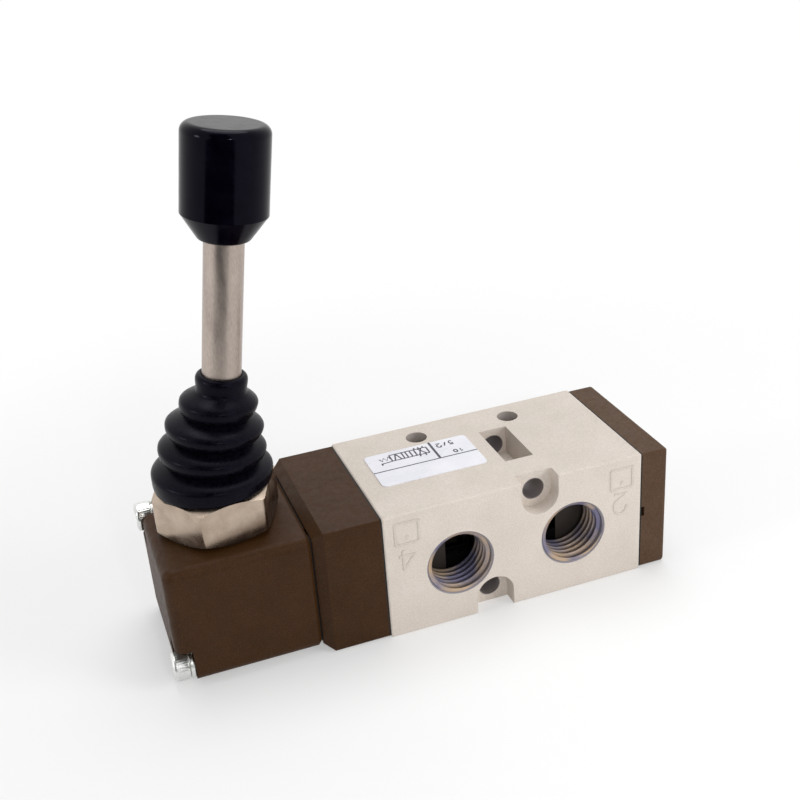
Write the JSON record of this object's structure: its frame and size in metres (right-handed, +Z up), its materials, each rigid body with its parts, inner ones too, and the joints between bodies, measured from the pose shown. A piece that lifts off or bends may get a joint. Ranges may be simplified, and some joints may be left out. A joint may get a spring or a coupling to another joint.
{
  "type": "hand lever air valve",
  "caption": "Hand lever spool valve for compressed air: a block with threaded ports and a knobbed lever in a rubber boot that shifts the spool against a return spring.",
  "frame": {"origin": "middle of the valve body's underside, on the face it rests on", "axes": "+X along the valve away from the lever, +Y towards the side with three ports, +Z up"},
  "size_m": [0.1015, 0.032, 0.1],
  "materials": {
    "body_paint": "beige paint on a cast block, fine orange peel",
    "block_paint": "dark brown satin paint on a cast block",
    "label": "white printed film",
    "gasket": "matt black",
    "screw_zinc": "bright zinc plate",
    "gland_nickel": "nickel plate with a warm tint",
    "seat_plastic": "natural moulded plastic",
    "spring_steel": "oiled spring steel",
    "bronze": "plain bearing bronze",
    "boot_rubber": "black moulded rubber, satin",
    "rod_steel": "turned stainless steel",
    "knob_plastic": "polished black moulding",
    "spool_metal": "ground aluminium",
    "seal_rubber": "black nitrile rubber"
  },
  "bodies": {
    "valve": {"valve_body": "body_paint", "label_plate": "label", "end_cap": "block_paint", "end_cap_gasket": "gasket", "end_cap_screws": "screw_zinc", "spring_block": "block_paint", "spring_block_gasket": "gasket", "spring_block_screws": "screw_zinc", "lever_housing": "block_paint", "housing_gasket": "gasket", "housing_screws": "screw_zinc", "lock_washers": "screw_zinc", "pivot_gland": "gland_nickel", "ball_seat": "seat_plastic", "seat_clip": "spring_steel", "stem_guide": "bronze", "return_spring": "spring_steel", "rubber_boot": "boot_rubber"},
    "lever": {"lever_rod": "rod_steel", "pivot_ball": "rod_steel", "tip_ball": "seat_plastic", "knob": "knob_plastic"},
    "spool": {"spool": "spool_metal", "spool_seal_1": "seal_rubber", "spool_seal_2": "seal_rubber", "spool_seal_3": "seal_rubber", "spool_seal_4": "seal_rubber", "spool_seal_5": "seal_rubber", "spool_seal_6": "seal_rubber", "spool_stem": "rod_steel", "stem_head": "rod_steel", "stem_clip": "spring_steel", "spring_cup": "rod_steel"}
  },
  "joints": [
    {"name": "lever_tilt", "type": "hinge", "parent": "valve", "child": "lever", "pos_m": [-0.054, 0, 0.0265], "axis": [0, 1, 0], "range_deg": [-17.6, 0], "stiffness_Nm_per_rad": 0.34, "springref_deg": 17.53, "deforming": ["rubber_boot"]},
    {"name": "spool_slide", "type": "slide", "parent": "valve", "child": "spool", "axis": [1, 0, 0], "range_m": [0, 0.004], "deforming": ["return_spring"]}
  ],
  "couplings": [
    {"joint": "spool_slide", "follows": "lever_tilt", "m_per_rad": -0.012949}
  ]
}
